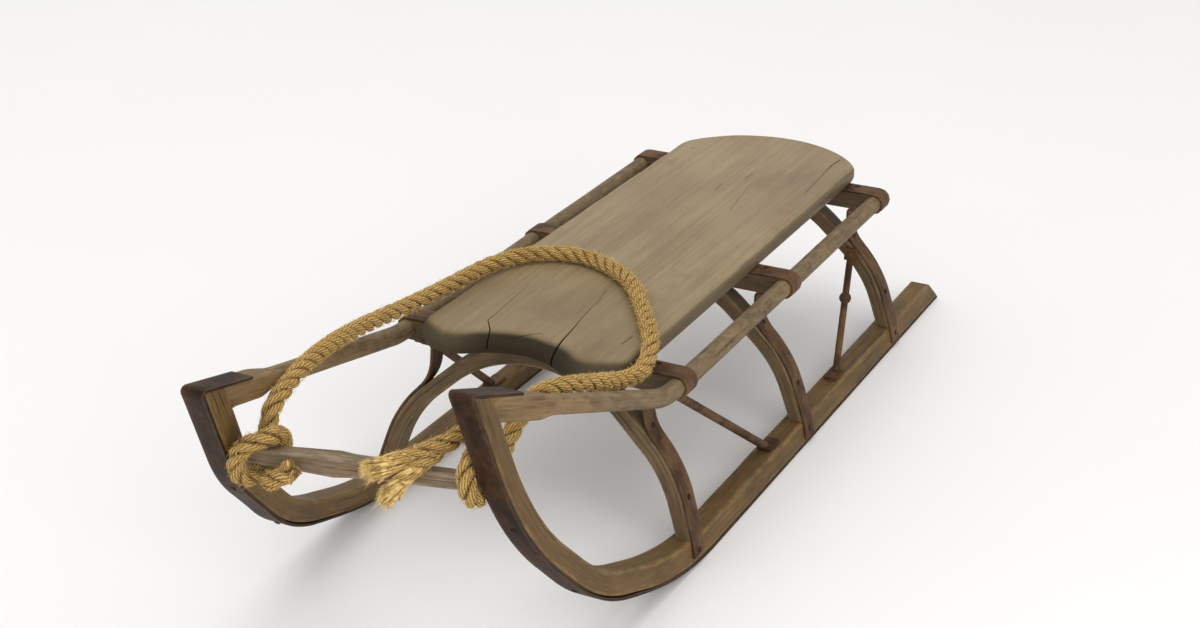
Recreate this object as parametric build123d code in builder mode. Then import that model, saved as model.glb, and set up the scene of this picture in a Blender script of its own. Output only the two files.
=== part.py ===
# A bentwood child's sled: iron-shod runners, side rails, a plank seat on three bows and a pull rope.
# Millimetres. Front is -Y, up is +Z, the floor is Z = 0 and X = 0 is the middle plane.
# "left" is the +X side and "right" the -X side, as the child on the seat would say.
import os
from math import atan2, cos, hypot, radians, sin, sqrt, tan

from build123d import *

os.makedirs("parts", exist_ok=True)

# Runners: bent wood, leaning in towards the top, with a thin iron shoe all round the outside
runner_foot_x = 184.2        # outer face at floor level
runner_lean = 0.2            # how far the outer face moves in for each millimetre up
runner_width = 24.0
runner_thick = 23.0
shoe_thick = 3.0
shoe_corner_r = 1.5          # inside radius of the iron where it folds over the runner top
runner_rear_y = 543.0
runner_rear_rake = 22.0      # how much shorter the runner is along its top

# The line of each runner's lower side at the front: knee, belly and brow, then the top corner.
# Columns: side, sign of x, knee y, belly (y, z), brow (y, z), top corner (y, z), rise of the rail
runner_table = [
    ("left", 1, -213.0, (-360.0, 58.5), (-457.5, 165.0), (-484.0, 305.0), 0.388),
    ("right", -1, -222.0, (-376.5, 57.5), (-474.5, 158.0), (-540.0, 283.0), 0.260),
]
runner_bend_r = (400.0, 205.0, 240.0)    # at the knee, the belly and the brow
shoe_top_leg = 70.0          # how far the iron runs back along the rail

# Side rails: round poles that turn square before they meet the runner tops
rail_x = 150.0
rail_z = 178.0
rail_r = 9.5
rail_rear_y = 404.0
rail_bend_r = 100.0
rail_block_w = 22.0
rail_block_h = 22.0
rail_block_len = 88.0        # squared length, measured along Y from the top corner
rail_taper_len = 34.0

# Crossbars and bows, one set at each station
# Columns: name, middle of the crossbar y, lean of the bow's feet to the front
station_table = [
    ("front", -150.0, 0.13),
    ("middle", 113.0, 0.0),
    ("rear", 387.0, 0.0),
]
crossbar_depth = 26.0
crossbar_pad_x = 97.0        # half length of the raised middle that the seat rests on
bow_depth = 22.0
bow_thick = 17.0
bow_foot_x = 179.0           # outer face where it stands on the runner
bow_knee = (156.0, 96.4)     # corner of the outer line between leg and shoulder
bow_knee_r = 140.0
bow_top_z = 185.0            # outer side of the crown
bow_shoulder = 42.0          # slope of the shoulder in degrees

# Iron straps
strap_thick = 3.0
strap_depth = 24.0
strap_split_x = 132.0        # where the strap under the crossbar meets the one up the bow
bow_strap_rise_x = 118.0     # where the bow strap stands up to the crossbar

# Iron braces and rods
brace_r = 4.5
brace_top = (138.0, -146.0)
brace_foot_y = 29.0
rod_r = 4.0
rod_top = (127.0, 112.0)
rod_foot_y = 230.0
rod_knob_r = 7.0
foot_pad = (15.0, 26.0, 4.0)

# Seat: one board
seat_left = 115.5            # the board is not quite even: its right edge narrows to the rear
seat_right_front = 112.0
seat_right_rear = 106.0
seat_thick = 20.0
seat_left_rear_y = 408.0
seat_right_rear_y = 398.0
seat_rear_y = 465.0
seat_rear_corner_r = 16.0
seat_lobe_r = 40.0
seat_lobe_y = -220.0         # front of the two lobes
seat_hollow_y = -194.0       # bottom of the hollow between them
seat_round_top = 9.0
seat_round_bottom = 5.0

# Drying cracks in the seat, along the grain. Each starts as a point; the first two run out at the front.
# Columns: width, depth, whether the far end closes too, places (x, y) along the crack
crack_table = [
    (1.0, 8.0, False, [(-57.6, -74.0), (-52.5, -135.0), (-50.4, -170.0), (-38.0, -187.0), (-30.0, -212.0)]),
    (1.2, 13.0, False, [(24.0, -80.0), (29.6, -124.0), (34.5, -158.0), (37.3, -182.0), (39.0, -228.0)]),
    (1.2, 7.0, True, [(92.2, 415.0), (90.0, 394.0), (91.1, 372.0), (94.2, 333.0)]),
]

# Hewn front bar between the runner posts
bar_right = (-128.0, -486.0, 199.0)
bar_left = (126.0, -457.0, 214.5)
# Columns: share of the way from right to left, depth, height
bar_table = [
    (0.0, 13.0, 13.0),
    (0.28, 16.0, 18.0),
    (0.42, 17.0, 21.0),
    (0.47, 16.0, 18.0),
    (1.0, 13.0, 13.0),
]

# Pull rope. Each route is a list of places along its middle: right tail, right knot, the rope, left knot
# and left tail. The end of the left tail has come apart into an upper and a lower bundle.
rope_d = 17.0
upper_tail_d = 15.0
lower_tail_d = 12.0
knot_right_points = [
    (-103.0, -460.0, 217.0),
    (-102.1, -466.0, 207.4),
    (-102.0, -466.5, 191.5),
    (-102.5, -478.0, 181.5),
    (-104.0, -492.0, 179.0),
    (-108.5, -501.0, 187.0),
    (-108.0, -503.5, 201.0),
    (-101.5, -502.0, 213.5),
    (-90.0, -495.0, 221.5),
    (-80.5, -482.0, 223.0),
    (-83.5, -467.0, 215.5),
    (-85.5, -462.5, 201.0),
    (-85.5, -468.0, 188.0),
    (-84.5, -481.0, 183.0),
    (-82.0, -487.5, 183.5),
]
tail_right_points = [
    (-82.0, -487.5, 183.5),
    (-79.0, -495.3, 184.1),
    (-71.0, -500.0, 190.0),
    (-61.5, -500.0, 197.0),
    (-51.5, -499.0, 203.0),
]
rope_points = [
    (-103.0, -460.0, 217.0),
    (-104.5, -450.0, 233.0),
    (-110.0, -398.0, 245.0),
    (-121.0, -336.0, 240.0),
    (-132.0, -267.0, 227.5),
    (-131.0, -204.0, 219.0),
    (-122.0, -141.0, 217.5),
    (-108.0, -55.0, 219.3),
    (-78.0, -12.0, 219.3),
    (-28.0, 1.0, 219.3),
    (36.0, -32.0, 219.3),
    (72.0, -80.0, 219.3),
    (106.0, -132.0, 219.6),
    (124.0, -162.0, 217.5),
    (130.5, -188.0, 206.0),
    (129.5, -220.0, 207.5),
    (126.0, -276.0, 229.0),
    (118.5, -318.0, 243.5),
    (108.0, -354.0, 250.5),
    (104.0, -380.0, 237.5),
    (104.5, -406.0, 222.0),
    (106.0, -424.0, 212.5),
]
knot_left_points = [
    (106.0, -424.0, 212.5),
    (106.9, -434.8, 206.8),
    (107.8, -446.0, 200.0),
    (108.9, -459.5, 198.2),
    (109.6, -471.5, 203.0),
    (108.2, -476.5, 215.0),
    (104.8, -473.0, 227.5),
    (103.7, -460.5, 235.5),
    (102.9, -446.5, 240.0),
    (101.5, -433.5, 243.0),
    (90.0, -425.0, 243.0),
    (78.5, -432.5, 239.8),
    (76.55, -442.6, 238.6),
]
tail_left_upper_points = [
    (76.55, -442.6, 238.6),
    (75.5, -448.0, 238.0),
    (65.5, -461.0, 235.0),
    (49.0, -469.0, 227.0),
    (34.0, -480.0, 222.5),
    (18.0, -486.0, 217.0),
]
tail_left_lower_points = [
    (72.0, -455.0, 231.5),
    (67.0, -467.0, 229.5),
    (60.0, -477.0, 222.5),
    (50.0, -481.0, 213.0),
    (37.5, -482.0, 201.0),
    (28.5, -481.0, 190.0),
]


def turn_between(before, corner, after):
    """Angle in radians through which a line turns at a corner, positive to the left."""
    first = atan2(corner[1] - before[1], corner[0] - before[0])
    second = atan2(after[1] - corner[1], after[0] - corner[0])
    turn = second - first
    while turn > 3.141592653589793:
        turn -= 2 * 3.141592653589793
    while turn < -3.141592653589793:
        turn += 2 * 3.141592653589793
    return turn


def meet(p, d, q, e):
    """Crossing of the line through p along d with the line through q along e."""
    cross = d[0] * e[1] - d[1] * e[0]
    t = ((q[0] - p[0]) * e[1] - (q[1] - p[1]) * e[0]) / cross
    return (p[0] + t * d[0], p[1] + t * d[1])


def beside(points, offset):
    """The same corners moved to the left of the line by offset."""
    dirs = []
    for a, b in zip(points[:-1], points[1:]):
        length = hypot(b[0] - a[0], b[1] - a[1])
        dirs.append(((b[0] - a[0]) / length, (b[1] - a[1]) / length))
    moved = [(points[0][0] - dirs[0][1] * offset, points[0][1] + dirs[0][0] * offset)]
    for i in range(1, len(points) - 1):
        p = (points[i][0] - dirs[i - 1][1] * offset, points[i][1] + dirs[i - 1][0] * offset)
        q = (points[i][0] - dirs[i][1] * offset, points[i][1] + dirs[i][0] * offset)
        moved.append(meet(p, dirs[i - 1], q, dirs[i]))
    moved.append((points[-1][0] - dirs[-1][1] * offset, points[-1][1] + dirs[-1][0] * offset))
    return moved


def radii_beside(points, radii, offset):
    """The bend radii of the moved line: smaller on the inside of a turn, larger on its outside."""
    result = []
    for i, r in enumerate(radii):
        turn = turn_between(points[i], points[i + 1], points[i + 2])
        result.append(r - offset if turn > 0 else r + offset)
    return result


def strip_face(line, radii, other, other_radii):
    """A face between two filleted lines, closed by straight ends."""
    with BuildSketch(Plane.XY) as strip:
        with BuildLine():
            one = FilletPolyline(*line, radius=radii)
            two = FilletPolyline(*other, radius=other_radii)
            Line(one @ 0, two @ 0)
            if (one @ 1 - two @ 1).length > 0.01:
                Line(one @ 1, two @ 1)
        make_face()
    return strip.sketch


# Faces of the runners lie in a leaning plane and are pushed along X, so their soles stay level.
lean_length = sqrt(1 + runner_lean**2)


def runner_plane(sign, out=0.0):
    """The outer face of a runner, or a parallel plane further out along X."""
    normal = (1 / lean_length, 0, sign * runner_lean / lean_length)
    return Plane(origin=(sign * (runner_foot_x + out), 0, 0), x_dir=(0, 1, 0), z_dir=normal)


def on_lean(point):
    """A (y, z) place as it lies in the leaning plane."""
    return (point[0], point[1] * lean_length)


def runner_outer_x(z):
    return runner_foot_x - runner_lean * z


runner_solids = {}
runner_clearances = {}
shoe_solids = {}
for side, sign, knee_y, belly, brow, corner, rise in runner_table:
    sole = [(runner_rear_y, shoe_thick), (knee_y, shoe_thick), belly, brow, corner]
    sole = [on_lean(point) for point in sole]
    top = beside(sole, -runner_thick)
    top[0] = (runner_rear_y - runner_rear_rake, top[0][1])
    along = (1.0, -rise * lean_length)
    post = (top[-1][0] - top[-2][0], top[-1][1] - top[-2][1])
    top[-1] = meet(top[-2], post, sole[-1], along)
    top_radii = radii_beside(sole, runner_bend_r, -runner_thick)
    wood_line = sole + [top[-1]]
    wood_radii = list(runner_bend_r) + [shoe_corner_r]
    side_face = strip_face(wood_line, wood_radii, top, top_radii)
    with BuildPart() as runner:
        with BuildSketch(runner_plane(sign)):
            add(side_face)
        extrude(amount=runner_width, dir=(-sign, 0, 0))
    runner.part.label = "runner_" + side
    export_step(runner.part, "parts/runner_" + side + ".step")
    runner_solids[side] = runner.part
    with BuildPart() as clearance:
        with BuildSketch(runner_plane(sign, 0.6 * runner_width)):
            add(side_face)
        extrude(amount=2.2 * runner_width, dir=(-sign, 0, 0))
    runner_clearances[side] = clearance.part

    leg_end = (corner[0] + shoe_top_leg, corner[1] - rise * shoe_top_leg)
    inside = sole + [on_lean(leg_end)]
    outside = beside(inside, shoe_thick)
    inside_radii = list(runner_bend_r) + [shoe_corner_r]
    outside_radii = radii_beside(inside, inside_radii, shoe_thick)
    shoe_face = strip_face(inside, inside_radii, outside, outside_radii)
    with BuildPart() as shoe:
        with BuildSketch(runner_plane(sign)):
            add(shoe_face)
        extrude(amount=runner_width, dir=(-sign, 0, 0))
    shoe.part.label = "shoe_" + side
    export_step(shoe.part, "parts/shoe_" + side + ".step")
    shoe_solids[side] = shoe.part

rail_solids = {}
for side, sign, knee_y, belly, brow, corner, rise in runner_table:
    slope = sqrt(1 + rise**2)
    front_z = corner[1] - rail_block_h / 2 * slope
    bend_y = corner[0] + (front_z - rail_z) / rise
    front_x = runner_outer_x(corner[1]) - runner_width / 2
    front = (sign * front_x, corner[0], front_z)
    bend = (sign * rail_x, bend_y, rail_z)
    run = (front[0] - bend[0], front[1] - bend[1], front[2] - bend[2])

    def axis_at(y):
        share = (y - bend[1]) / run[1]
        return (bend[0] + share * run[0], y, bend[2] + share * run[2])

    with BuildPart() as rail:
        with BuildLine() as axis:
            FilletPolyline(
                (sign * rail_x, rail_rear_y, rail_z), bend, axis_at(corner[0] + 20.0), radius=rail_bend_r
            )
        with BuildSketch(Plane(origin=(sign * rail_x, rail_rear_y, rail_z), z_dir=(0, -1, 0))):
            Circle(rail_r)
        sweep(path=axis.line)
        block_y = corner[0] + rail_block_len
        with BuildSketch(Plane(origin=axis_at(corner[0] + 14.0), x_dir=(1, 0, 0), z_dir=(0, -1, 0))):
            Rectangle(rail_block_w, rail_block_h * slope)
        with BuildSketch(Plane(origin=axis_at(block_y), x_dir=(1, 0, 0), z_dir=(0, -1, 0))):
            Rectangle(rail_block_w, rail_block_h * slope)
        loft(ruled=True)
        with BuildSketch(Plane(origin=axis_at(block_y), x_dir=(1, 0, 0), z_dir=(0, -1, 0))):
            Rectangle(rail_block_w, rail_block_h * slope)
        with BuildSketch(
            Plane(origin=axis_at(block_y + rail_taper_len), x_dir=(1, 0, 0), z_dir=(0, -1, 0))
        ):
            Rectangle(rail_r * 1.3, rail_r * 1.3)
        loft(ruled=True)
        add(runner_clearances[side], mode=Mode.SUBTRACT)
        add(shoe_solids[side], mode=Mode.SUBTRACT)
    rail.part.label = "rail_" + side
    export_step(rail.part, "parts/rail_" + side + ".step")
    rail_solids[side] = rail.part

# Bows: the outer line runs foot, knee, crown, knee, foot
runner_top_z = shoe_thick + runner_thick / lean_length
crown_z = bow_knee[1] + bow_knee[0] * tan(radians(bow_shoulder))
crown_r = (crown_z - bow_top_z) / (1 / cos(radians(bow_shoulder)) - 1)
foot_slope = (bow_foot_x - bow_knee[0]) / (bow_knee[1] - runner_top_z)
foot_z = runner_top_z - 8.0
foot_x = bow_foot_x + foot_slope * (runner_top_z - foot_z)


def bow_plane(bar_y, lean):
    """Front face of a bow; its height is counted from the seat's underside down."""
    return Plane(
        origin=(0, bar_y - crossbar_depth / 2, seat_z), x_dir=(1, 0, 0), z_dir=(0, -1, lean)
    )


seat_z = rail_z + rail_r + strap_thick
bow_solids = {}
for name, bar_y, lean in station_table:
    stretch = sqrt(1 + lean**2)

    def on_bow(point):
        return (point[0], (point[1] - seat_z) * stretch)

    outer = [(-foot_x, foot_z), (-bow_knee[0], bow_knee[1]), (0, crown_z)]
    outer += [(bow_knee[0], bow_knee[1]), (foot_x, foot_z)]
    outer = [on_bow(point) for point in outer]
    outer_radii = [bow_knee_r, crown_r, bow_knee_r]
    inner = beside(outer, -bow_thick)
    inner_radii = radii_beside(outer, outer_radii, -bow_thick)
    arch_face = strip_face(outer, outer_radii, inner, inner_radii)
    with BuildPart() as bow:
        with BuildSketch(bow_plane(bar_y, lean)):
            add(arch_face)
        extrude(amount=bow_depth, dir=(0, 1, 0))
        for side in runner_clearances:
            add(runner_clearances[side], mode=Mode.SUBTRACT)
        with Locations((0, bar_y, runner_top_z - shoe_thick - 1.5 * bow_thick)):
            Box(3 * bow_foot_x, 8 * bow_depth, 3 * bow_thick, mode=Mode.SUBTRACT)
    bow.part.label = "bow_" + name
    export_step(bow.part, "parts/bow_" + name + ".step")
    bow_solids[name] = bow.part

crossbar_solids = {}
for name, bar_y, lean in station_table:
    with BuildPart() as crossbar:
        with Locations((0, bar_y, rail_z)):
            Box(2 * rail_x, crossbar_depth, 2 * rail_r)
        with Locations((0, bar_y, rail_z + rail_r + strap_thick / 2)):
            Box(2 * crossbar_pad_x, crossbar_depth, strap_thick)
        add(bow_solids[name], mode=Mode.SUBTRACT)
        for side in rail_solids:
            add(rail_solids[side], mode=Mode.SUBTRACT)
    crossbar.part.label = "crossbar_" + name
    export_step(crossbar.part, "parts/crossbar_" + name + ".step")
    crossbar_solids[name] = crossbar.part

for name, bar_y, lean in station_table:
    stretch = sqrt(1 + lean**2)
    for side, sign in (("left", 1), ("right", -1)):
        under_z = rail_z - rail_r
        rail_plane = Plane(origin=(0, bar_y + strap_depth / 2, 0), x_dir=(1, 0, 0), z_dir=(0, -1, 0))
        with BuildPart() as rail_strap:
            with BuildSketch(rail_plane):
                with Locations((sign * rail_x, rail_z)):
                    Circle(rail_r + strap_thick)
                    Circle(rail_r, mode=Mode.SUBTRACT)
                with Locations((sign * (rail_x - 3 * rail_r), rail_z)):
                    Rectangle(6 * rail_r, 6 * rail_r, mode=Mode.SUBTRACT)
                top_mid = (crossbar_pad_x + rail_x) / 2
                with Locations((sign * top_mid, rail_z + rail_r + strap_thick / 2)):
                    Rectangle(rail_x - crossbar_pad_x, strap_thick)
                low_mid = (strap_split_x + rail_x) / 2
                with Locations((sign * low_mid, under_z - strap_thick / 2)):
                    Rectangle(rail_x - strap_split_x, strap_thick)
            extrude(amount=strap_depth)
        rail_strap.part.label = "rail_strap_" + name + "_" + side
        export_step(rail_strap.part, "parts/rail_strap_" + name + "_" + side + ".step")

        low_z = 6.0 if lean == 0 else 11.0
        leave = (bow_strap_rise_x, bow_knee[1] + (bow_knee[0] - bow_strap_rise_x) * tan(radians(bow_shoulder)))
        up_line = [
            (runner_outer_x(low_z), low_z),
            (bow_foot_x, runner_top_z),
            bow_knee,
            leave,
            (bow_strap_rise_x, under_z),
            (strap_split_x, under_z),
        ]
        up_radii = [1.0, bow_knee_r, 2.5 * strap_thick, 1.6 * strap_thick]
        line = [(sign * x, (z - seat_z) * stretch) for x, z in up_line]
        moved = beside(line, -sign * strap_thick)
        moved_radii = radii_beside(line, up_radii, -sign * strap_thick)
        up_face = strip_face(line, up_radii, moved, moved_radii)
        with BuildPart() as bow_strap:
            with BuildSketch(bow_plane(bar_y, lean)):
                add(up_face)
            extrude(amount=bow_depth, dir=(0, 1, 0))
            add(runner_solids[side], mode=Mode.SUBTRACT)
        bow_strap.part.label = "bow_strap_" + name + "_" + side
        export_step(bow_strap.part, "parts/bow_strap_" + name + "_" + side + ".step")

trim_plate = (3 * runner_foot_x, 2.2 * runner_rear_y, foot_pad[1])
for side, sign in (("left", 1), ("right", -1)):
    strap_under = rail_z - rail_r - strap_thick
    runner_mid = runner_outer_x(runner_top_z) - runner_width / 2
    top = Vector(sign * brace_top[0], brace_top[1], strap_under - foot_pad[2] / 2)
    foot = Vector(sign * runner_mid, brace_foot_y, runner_top_z + foot_pad[2] / 2)
    with BuildPart() as brace:
        with Locations(Location((top.X, top.Y - 2.0, top.Z))):
            Box(foot_pad[0], 18.0, foot_pad[2])
        with BuildSketch(Plane(origin=top, z_dir=foot - top)):
            Circle(brace_r)
        extrude(amount=(foot - top).length)
        with Locations(Location((foot.X, foot.Y + 6.0, foot.Z))):
            Box(*foot_pad)
        with Locations((0, 0, strap_under + foot_pad[1] / 2)):
            Box(*trim_plate, mode=Mode.SUBTRACT)
        with Locations((0, 0, runner_top_z - foot_pad[1] / 2)):
            Box(*trim_plate, mode=Mode.SUBTRACT)
    brace.part.label = "brace_" + side
    export_step(brace.part, "parts/brace_" + side + ".step")

    bow_face_y = station_table[2][1] - crossbar_depth / 2
    top = Vector(sign * rod_top[0], bow_face_y - foot_pad[2] / 2, rod_top[1])
    foot = Vector(sign * runner_mid, rod_foot_y, runner_top_z + foot_pad[2] / 2)
    knob = top + (foot - top) * 0.38
    with BuildPart() as rod:
        with Locations(Location((top.X, top.Y, top.Z))):
            Box(foot_pad[0], foot_pad[2], foot_pad[0])
        with BuildSketch(Plane(origin=top, z_dir=foot - top)):
            Circle(rod_r)
        extrude(amount=(foot - top).length)
        with Locations(Location(knob)):
            Sphere(rod_knob_r)
        with Locations(Location((foot.X, foot.Y - 6.0, foot.Z))):
            Box(*foot_pad)
        with Locations((0, bow_face_y + bow_depth, rod_top[1])):
            Box(trim_plate[0], 2 * bow_depth, rail_z, mode=Mode.SUBTRACT)
        with Locations((0, 0, runner_top_z - foot_pad[1] / 2)):
            Box(*trim_plate, mode=Mode.SUBTRACT)
    rod.part.label = "rod_" + side
    export_step(rod.part, "parts/rod_" + side + ".step")

# Seat outline: straight sides, an arched rear end and two front lobes with a hollow between them
lobe_y = seat_lobe_y + seat_lobe_r
lobe_x = {"left": seat_left - seat_lobe_r, "right": seat_lobe_r - seat_right_front}
drop = lobe_y - seat_hollow_y
half_span = (lobe_x["left"] - lobe_x["right"]) / 2
hollow_x = (lobe_x["left"] + lobe_x["right"]) / 2
hollow_r = (half_span**2 + drop**2 - seat_lobe_r**2) / (2 * (seat_lobe_r - drop))
hollow_mid_y = seat_hollow_y - hollow_r
reach = hypot(half_span, lobe_y - hollow_mid_y)
kiss_dx = seat_lobe_r * half_span / reach
kiss_y = lobe_y - seat_lobe_r * (lobe_y - hollow_mid_y) / reach
half_way = atan2(kiss_y - lobe_y, -kiss_dx) / 2
low_dx, low_y = seat_lobe_r * cos(half_way), lobe_y + seat_lobe_r * sin(half_way)
kiss_left = (lobe_x["left"] - kiss_dx, kiss_y)
kiss_right = (lobe_x["right"] + kiss_dx, kiss_y)
rear_left = (seat_left, seat_left_rear_y)
rear_right = (-seat_right_rear, seat_right_rear_y)
with BuildPart() as seat:
    with BuildSketch(Plane.XY.offset(seat_z)):
        with BuildLine():
            Line((seat_left, lobe_y), rear_left)
            ThreePointArc(rear_left, (hollow_x, seat_rear_y), rear_right)
            Line(rear_right, (-seat_right_front, lobe_y))
            ThreePointArc((-seat_right_front, lobe_y), (lobe_x["right"] - low_dx, low_y), kiss_right)
            ThreePointArc(kiss_right, (hollow_x, seat_hollow_y), kiss_left)
            ThreePointArc(kiss_left, (lobe_x["left"] + low_dx, low_y), (seat_left, lobe_y))
        outline = make_face()
        rear_corners = outline.vertices().filter_by(lambda v: v.Y > seat_right_rear_y - 1.0)
        fillet(rear_corners, radius=seat_rear_corner_r)
    extrude(amount=seat_thick)
    fillet(seat.faces().sort_by(Axis.Z)[-1].edges(), radius=seat_round_top)
    fillet(seat.faces().sort_by(Axis.Z)[0].edges(), radius=seat_round_bottom)
    for width, depth, closed, places in crack_table:
        one, two = beside(places, width / 2), beside(places, -width / 2)
        last = -1 if closed else len(places)
        outline = [places[0]] + one[1:last] + ([places[-1]] if closed else []) + two[1:last][::-1]
        with BuildSketch(Plane.XY.offset(seat_z + seat_thick)):
            Polygon(*outline, align=None)
        extrude(amount=-depth, mode=Mode.SUBTRACT)
seat.part.label = "seat"
export_step(seat.part, "parts/seat.step")

with BuildPart() as front_bar:
    for share, depth, height in bar_table:
        middle = tuple(a + (b - a) * share for a, b in zip(bar_right, bar_left))
        with BuildSketch(Plane(origin=middle, x_dir=(0, 1, 0), z_dir=(1, 0, 0))):
            Rectangle(depth, height)
    loft(ruled=True)
    for side in runner_solids:
        add(runner_clearances[side], mode=Mode.SUBTRACT)
front_bar.part.label = "front_bar"
export_step(front_bar.part, "parts/front_bar.step")


def route_radii(points):
    """Bend radius at each corner of the rope's route, as large as its shorter run allows."""
    radii = []
    for a, b, c in zip(points[:-2], points[1:-1], points[2:]):
        one, two = Vector(*b) - Vector(*a), Vector(*c) - Vector(*b)
        half_turn = radians(one.get_angle(two)) / 2
        radii.append(0.45 * min(one.length, two.length) / tan(half_turn))
    return radii


def cord_along(label, points, diameter, cut_by):
    """A plain round cord along a route, kept clear of the solids it presses against."""
    radii = route_radii(points)
    with BuildPart() as cord:
        with BuildLine() as route:
            FilletPolyline(*points, radius=radii)
        with BuildSketch(Plane(origin=points[0], z_dir=Vector(*points[1]) - Vector(*points[0]))):
            Circle(diameter / 2)
        sweep(path=route.line)
        for other in cut_by:
            add(other, mode=Mode.SUBTRACT)
    cord.part.label = label
    export_step(cord.part, "parts/" + label + ".step")
    length = sum(edge.length for edge in route.line.edges())
    print(label, "length", round(length, 1), "smallest bend radius", round(min(radii), 1))
    print(label, "radii", [round(r, 1) for r in radii])
    return cord.part


bar = front_bar.part
cord_along("rope", rope_points, rope_d, [])
cord_along("rope_knot_right", knot_right_points, rope_d, [bar])
cord_along("rope_tail_right", tail_right_points, rope_d, [bar])
left_knot = cord_along("rope_knot_left", knot_left_points, rope_d, [bar])
upper_tail = cord_along("rope_tail_left_upper", tail_left_upper_points, upper_tail_d, [bar, left_knot])
cord_along("rope_tail_left_lower", tail_left_lower_points, lower_tail_d, [bar, upper_tail])
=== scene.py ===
import random
from functools import partialmethod, reduce
from math import atan2, ceil, cos, hypot, pi, radians, sin, sqrt, tan, tau

import bmesh
import bpy
from mathutils import Matrix, Vector, noise


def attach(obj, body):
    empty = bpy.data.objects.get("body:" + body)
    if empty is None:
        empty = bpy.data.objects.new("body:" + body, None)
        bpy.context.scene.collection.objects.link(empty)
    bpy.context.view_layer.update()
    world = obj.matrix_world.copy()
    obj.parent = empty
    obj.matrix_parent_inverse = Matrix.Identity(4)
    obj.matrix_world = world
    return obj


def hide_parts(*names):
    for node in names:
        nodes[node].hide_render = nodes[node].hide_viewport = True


MM = 0.001
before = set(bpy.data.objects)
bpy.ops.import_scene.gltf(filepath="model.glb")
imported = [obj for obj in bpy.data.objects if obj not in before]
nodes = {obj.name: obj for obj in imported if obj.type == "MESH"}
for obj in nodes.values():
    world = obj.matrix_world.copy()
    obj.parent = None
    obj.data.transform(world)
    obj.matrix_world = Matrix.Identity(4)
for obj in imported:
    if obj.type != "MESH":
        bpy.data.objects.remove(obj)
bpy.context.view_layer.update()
dice = random.Random(41)


def add_object(name, data):
    """A new object in the scene."""
    obj = bpy.data.objects.new(name, data)
    bpy.context.scene.collection.objects.link(obj)
    return obj


# Camera at the photograph's viewing angle
camera_data = bpy.data.cameras.new("camera")
camera = add_object("camera", camera_data)
camera_data.sensor_width = 36.0
camera_data.lens = 60.0
azimuth, elevation, roll = 0.477512, 0.425, -0.003841
level = Vector((sin(azimuth), -cos(azimuth), 0))
back = level * cos(elevation) + Vector((0, 0, sin(elevation)))
right = Vector((cos(azimuth), sin(azimuth), 0))
up = back.cross(right)
rolled_right = right * cos(roll) + up * sin(roll)
rolled_up = up * cos(roll) - right * sin(roll)
turned = Matrix((rolled_right, rolled_up, back)).transposed().to_4x4()
camera.matrix_world = Matrix.Translation((0.8669, -1.7035, 1.0238)) @ turned
bpy.context.scene.camera = camera
bpy.context.scene.view_settings.view_transform = "Standard"


class Value:
    """The output of a shader node. Sums with it, on either side of a sign, add Math nodes."""

    def __init__(self, paint, socket):
        self.paint = paint
        self.socket = socket

    def calc(self, kind, *others):
        return self.paint.add("Math", dict(enumerate((self, *others))), operation=kind)

    def reflected(self, kind, other):
        return self.paint.add("Math", {0: other, 1: self}, operation=kind)

    __add__, __radd__ = partialmethod(calc, "ADD"), partialmethod(reflected, "ADD")
    __sub__, __rsub__ = partialmethod(calc, "SUBTRACT"), partialmethod(reflected, "SUBTRACT")
    __mul__, __rmul__ = partialmethod(calc, "MULTIPLY"), partialmethod(reflected, "MULTIPLY")
    __truediv__, __rtruediv__ = partialmethod(calc, "DIVIDE"), partialmethod(reflected, "DIVIDE")
    __pow__, __rpow__ = partialmethod(calc, "POWER"), partialmethod(reflected, "POWER")

    def over(self, low, high):
        """From 0 at low to 1 at high, with soft ends."""
        feeds = {"Value": self, "From Min": low, "From Max": high}
        return self.paint.add("MapRange", feeds, interpolation_type="SMOOTHSTEP")


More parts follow.
